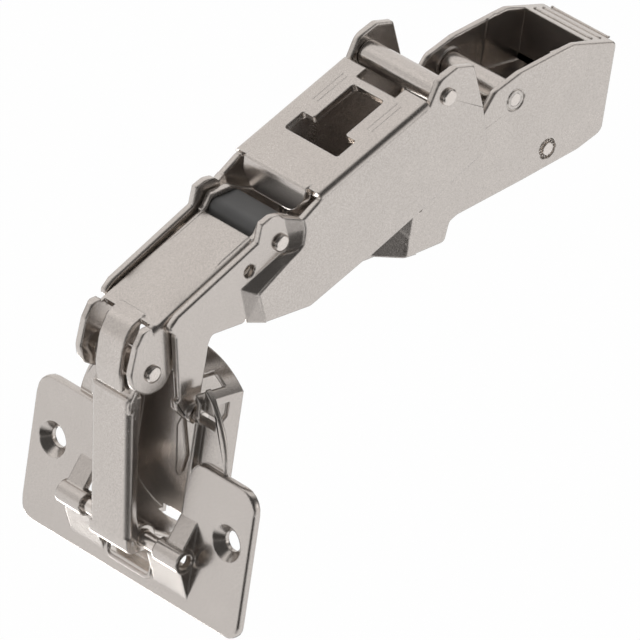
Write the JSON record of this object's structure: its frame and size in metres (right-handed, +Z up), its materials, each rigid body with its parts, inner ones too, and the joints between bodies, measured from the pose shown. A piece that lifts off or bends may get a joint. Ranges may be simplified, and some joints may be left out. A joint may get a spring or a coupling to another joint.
{
  "type": "concealed cup hinge",
  "caption": "Wide-angle concealed cabinet hinge, fully open: cup with screw plate, front link, inner and outer levers, rear link and channel arm with a clip-on rear end.",
  "frame": {"origin": "midway between the two screw holes, on the front face of the cup plate", "axes": "+X is the plate's normal into the door, +Y runs along the pins, +Z is up in the plate"},
  "size_m": [0.114, 0.0564, 0.0926],
  "materials": {
    "steel": "satin nickel plated",
    "pin_steel": "satin",
    "plastic": "matte"
  },
  "bodies": {
    "arm": {"arm_body": "steel", "nose_pin": "pin_steel", "arm_pin": "pin_steel", "clip_rivet": "pin_steel"},
    "clip": {"clip_lever": "steel"},
    "inner": {"inner_lever": "steel", "front_pin": "pin_steel", "cross_pin": "pin_steel", "damper_cam": "plastic"},
    "outer": {"outer_lever": "steel", "top_pin": "pin_steel"},
    "rear": {"rear_link": "steel"},
    "front": {"front_link": "steel"},
    "cup": {"cup": "steel", "cup_pin": "pin_steel", "rear_stub_left": "pin_steel", "rear_stub_right": "pin_steel"}
  },
  "joints": [
    {"name": "inner_fold", "type": "hinge", "parent": "arm", "child": "inner", "pos_m": [0.0369, 0, 0.043], "axis": [0, 1, 0], "range_deg": [0, 110.2]},
    {"name": "outer_fold", "type": "hinge", "parent": "inner", "child": "outer", "pos_m": [0.017, 0, 0.0488], "axis": [0, -1, 0], "range_deg": [0, 110.5]},
    {"name": "rear_fold", "type": "hinge", "parent": "arm", "child": "rear", "pos_m": [0.0724, 0, 0.064], "axis": [0, 1, 0], "range_deg": [0, 110.5]},
    {"name": "front_fold", "type": "hinge", "parent": "inner", "child": "front", "pos_m": [-0.0085, 0, 0.0285], "axis": [0, -1, 0], "range_deg": [0, 85.93]},
    {"name": "cup_fold", "type": "hinge", "parent": "front", "child": "cup", "pos_m": [-0.0023, 0, -0.0064], "axis": [0, 1, 0], "range_deg": [0, 140.73]},
    {"name": "clip_release", "type": "hinge", "parent": "arm", "child": "clip", "pos_m": [0.0829, 0, 0.052], "axis": [0, 1, 0], "range_deg": [0, 6], "stiffness_Nm_per_rad": 0.5}
  ],
  "couplings": [
    {"joint": "outer_fold", "follows": "inner_fold", "ratio": 1},
    {"joint": "rear_fold", "follows": "inner_fold", "ratio": 1},
    {"joint": "front_fold", "follows": "inner_fold", "ratio": 0.77701},
    {"joint": "cup_fold", "follows": "inner_fold", "ratio": 1.2743}
  ]
}
